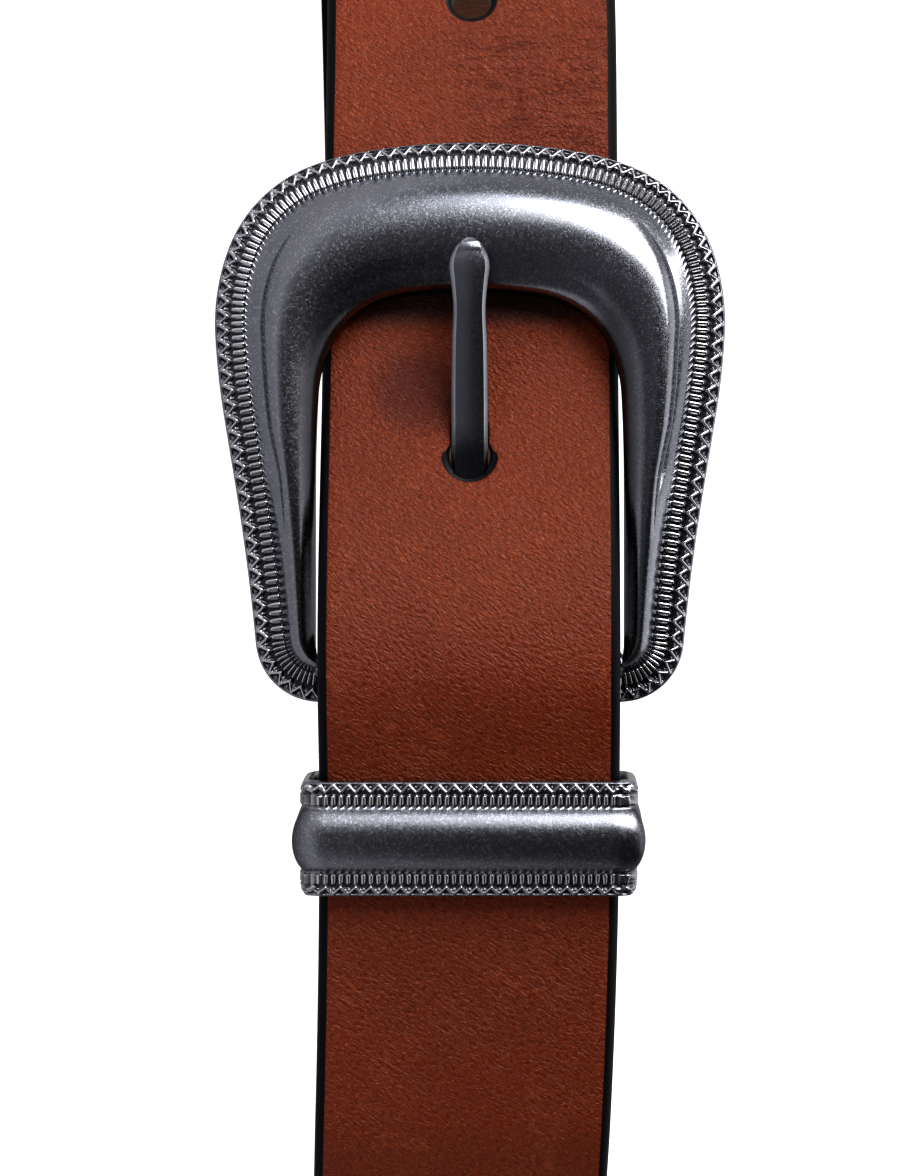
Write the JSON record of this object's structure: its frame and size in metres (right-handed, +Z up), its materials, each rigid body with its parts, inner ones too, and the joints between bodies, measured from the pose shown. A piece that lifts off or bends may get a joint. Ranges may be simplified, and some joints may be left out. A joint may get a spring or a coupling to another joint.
{
  "type": "western belt",
  "caption": "Buckled leather waist belt with a horseshoe-shaped cast buckle, a pronged tongue, a matching metal keeper and a raised rim of teeth and ribs",
  "frame": {"origin": "the point on the floor under the middle of the belt's box, with the belt standing on its lower edge", "axes": "+Z up along the axis of the loop, +X along the long way of the oval towards the free tip, -Y out of the front of the buckle"},
  "size_m": [0.346, 0.2653, 0.0652],
  "materials": {
    "leather": "fine-grained reddish brown leather with black painted edges",
    "antique_silver": "satin antique silver, darkened in the relief"
  },
  "bodies": {
    "root": {"strap": "leather", "buckle_frame": "antique_silver", "tongue": "antique_silver", "keeper": "antique_silver", "fold_screw_near": "antique_silver", "fold_screw_far": "antique_silver"}
  },
  "joints": []
}
